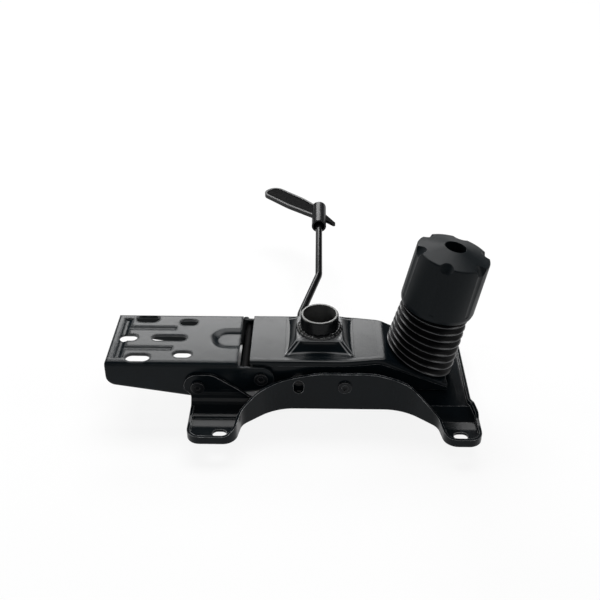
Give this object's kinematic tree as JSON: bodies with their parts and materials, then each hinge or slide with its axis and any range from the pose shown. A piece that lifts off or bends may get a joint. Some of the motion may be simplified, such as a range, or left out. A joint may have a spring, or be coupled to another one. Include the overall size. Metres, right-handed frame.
{
  "type": "office chair tilt mechanism",
  "caption": "Synchro tilt mechanism for an office chair: pressed steel seat plate, back channel and housing with gas-lift socket, sprung tension knob with bellows, and a height lever.",
  "frame": {"origin": "centre of the four seat bolt slots, on the face that meets the seat", "axes": "+X to the front of the chair, +Y to the side with the lever, +Z away from the seat, down in use"},
  "size_m": [0.3223, 0.3914, 0.1397],
  "materials": {
    "black_paint": "gloss black paint",
    "bare_steel": "plain steel",
    "dark_rivet": "painted rivet heads",
    "black_plastic": "fine satin texture",
    "black_rubber": "matte",
    "nylon": "plain black"
  },
  "bodies": {
    "housing": {"housing_shell": "black_paint", "inner_channel": "black_paint", "gas_socket": "bare_steel", "socket_weld": "bare_steel", "rear_shaft": "dark_rivet", "rear_washers": "nylon", "seat_shaft": "dark_rivet", "seat_spacers": "bare_steel", "lever_bushes": "nylon", "spring_seat": "bare_steel", "tension_spring": "bare_steel", "bellows": "black_rubber"},
    "seat_plate": {"seat_plate": "black_paint"},
    "back_bracket": {"back_channel": "black_paint", "stop_bar": "black_paint", "link_rivets": "dark_rivet"},
    "tension_bolt": {"tension_bolt": "bare_steel", "saddle": "bare_steel"},
    "spring_cap": {"spring_cap": "bare_steel", "thrust_washer": "nylon"},
    "tension_knob": {"tension_knob": "black_plastic", "knob_insert": "bare_steel"},
    "lever": {"lever_rod": "black_paint", "lever_finger": "bare_steel", "lever_clip": "bare_steel", "lever_paddle": "black_plastic"}
  },
  "joints": [
    {"name": "back_tilt", "type": "hinge", "parent": "housing", "child": "back_bracket", "pos_m": [-0.067, 0, 0.0294], "axis": [0, 1, 0], "range_deg": [0, 18], "stiffness_Nm_per_rad": 8, "springref_deg": -22.92},
    {"name": "seat_tilt", "type": "hinge", "parent": "housing", "child": "seat_plate", "pos_m": [0.0044, 0, 0.024], "axis": [0, 1, 0], "range_deg": [0, 7.8]},
    {"name": "bolt_pull", "type": "slide", "parent": "housing", "child": "tension_bolt", "axis": [-0.1994, 0, -0.9799], "range_m": [0, 0.0089], "deforming": ["tension_spring"]},
    {"name": "cap_travel", "type": "slide", "parent": "tension_bolt", "child": "spring_cap", "axis": [-0.1994, 0, -0.9799], "range_m": [0, 0.0075], "deforming": ["bellows"]},
    {"name": "knob_turn", "type": "hinge", "parent": "spring_cap", "child": "tension_knob", "pos_m": [0.0654, 0, 0.0002], "axis": [-0.1994, 0, -0.9799], "range_deg": [0, 1803]},
    {"name": "lever_lift", "type": "hinge", "parent": "housing", "child": "lever", "pos_m": [-0.035, 0, 0.026], "axis": [0, -1, 0], "range_deg": [0, 12], "stiffness_Nm_per_rad": 0.4, "springref_deg": -17.19}
  ],
  "couplings": [
    {"joint": "seat_tilt", "follows": "back_tilt", "ratio": 0.4316},
    {"joint": "bolt_pull", "follows": "back_tilt", "m_per_rad": 0.028},
    {"joint": "knob_turn", "follows": "cap_travel", "rad_per_m": 4188.8}
  ]
}
